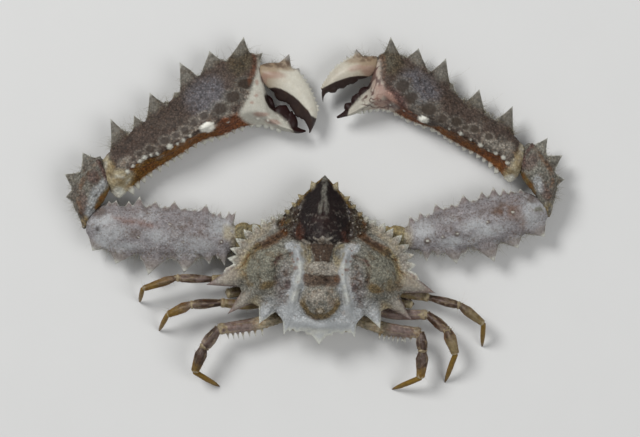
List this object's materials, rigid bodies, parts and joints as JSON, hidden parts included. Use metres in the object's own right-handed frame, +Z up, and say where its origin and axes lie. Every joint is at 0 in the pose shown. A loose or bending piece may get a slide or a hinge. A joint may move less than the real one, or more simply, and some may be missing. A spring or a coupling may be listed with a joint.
{
  "type": "elbow crab specimen",
  "caption": "Dried elbow crab resting on its belly, with a spiny diamond-shaped carapace, heavy spined claws folded in front and thin curled walking legs.",
  "frame": {"origin": "on the ground, under the middle of the flat tail plate the crab rests on", "axes": "+X across the crab to its right claw, +Y the way the crab faces, +Z up from its belly to its back"},
  "size_m": [0.1004, 0.0709, 0.0136],
  "materials": {
    "shell": "dry matte shell, grey-brown with cream and brown patches",
    "claw_shell": "dry matte granular shell, grey with white spine tips and orange-brown inner faces",
    "finger_ivory": "smooth ivory finger with dark brown biting edges",
    "leg_shell": "satin grey-brown leg shell with cream joints",
    "amber_tip": "amber brown leg tip",
    "belly_shell": "satin cream belly shell",
    "eye": "dark glossy eye"
  },
  "bodies": {
    "root": {"abdomen": "belly_shell", "carapace": "shell", "eye_left": "eye", "eye_right": "eye", "left_claw_base": "leg_shell", "left_claw_carpus": "claw_shell", "left_claw_finger": "finger_ivory", "left_claw_merus": "claw_shell", "left_claw_palm": "claw_shell", "left_leg_1_carpus": "leg_shell", "left_leg_1_dactylus": "amber_tip", "left_leg_1_merus": "leg_shell", "left_leg_1_propodus": "leg_shell", "left_leg_2_carpus": "leg_shell", "left_leg_2_dactylus": "amber_tip", "left_leg_2_merus": "leg_shell", "left_leg_2_propodus": "leg_shell", "left_leg_3_carpus": "leg_shell", "left_leg_3_dactylus": "amber_tip", "left_leg_3_merus": "leg_shell", "left_leg_3_propodus": "leg_shell", "left_leg_4_carpus": "leg_shell", "left_leg_4_dactylus": "amber_tip", "left_leg_4_merus": "leg_shell", "left_leg_4_propodus": "leg_shell", "mouth_plate_left": "belly_shell", "mouth_plate_right": "belly_shell", "right_claw_base": "leg_shell", "right_claw_carpus": "claw_shell", "right_claw_finger": "finger_ivory", "right_claw_merus": "claw_shell", "right_claw_palm": "claw_shell", "right_leg_1_carpus": "leg_shell", "right_leg_1_dactylus": "amber_tip", "right_leg_1_merus": "leg_shell", "right_leg_1_propodus": "leg_shell", "right_leg_2_carpus": "leg_shell", "right_leg_2_dactylus": "amber_tip", "right_leg_2_merus": "leg_shell", "right_leg_2_propodus": "leg_shell", "right_leg_3_carpus": "leg_shell", "right_leg_3_dactylus": "amber_tip", "right_leg_3_merus": "leg_shell", "right_leg_3_propodus": "leg_shell", "right_leg_4_carpus": "leg_shell", "right_leg_4_dactylus": "amber_tip", "right_leg_4_merus": "leg_shell", "right_leg_4_propodus": "leg_shell", "sternum": "belly_shell"}
  },
  "joints": []
}
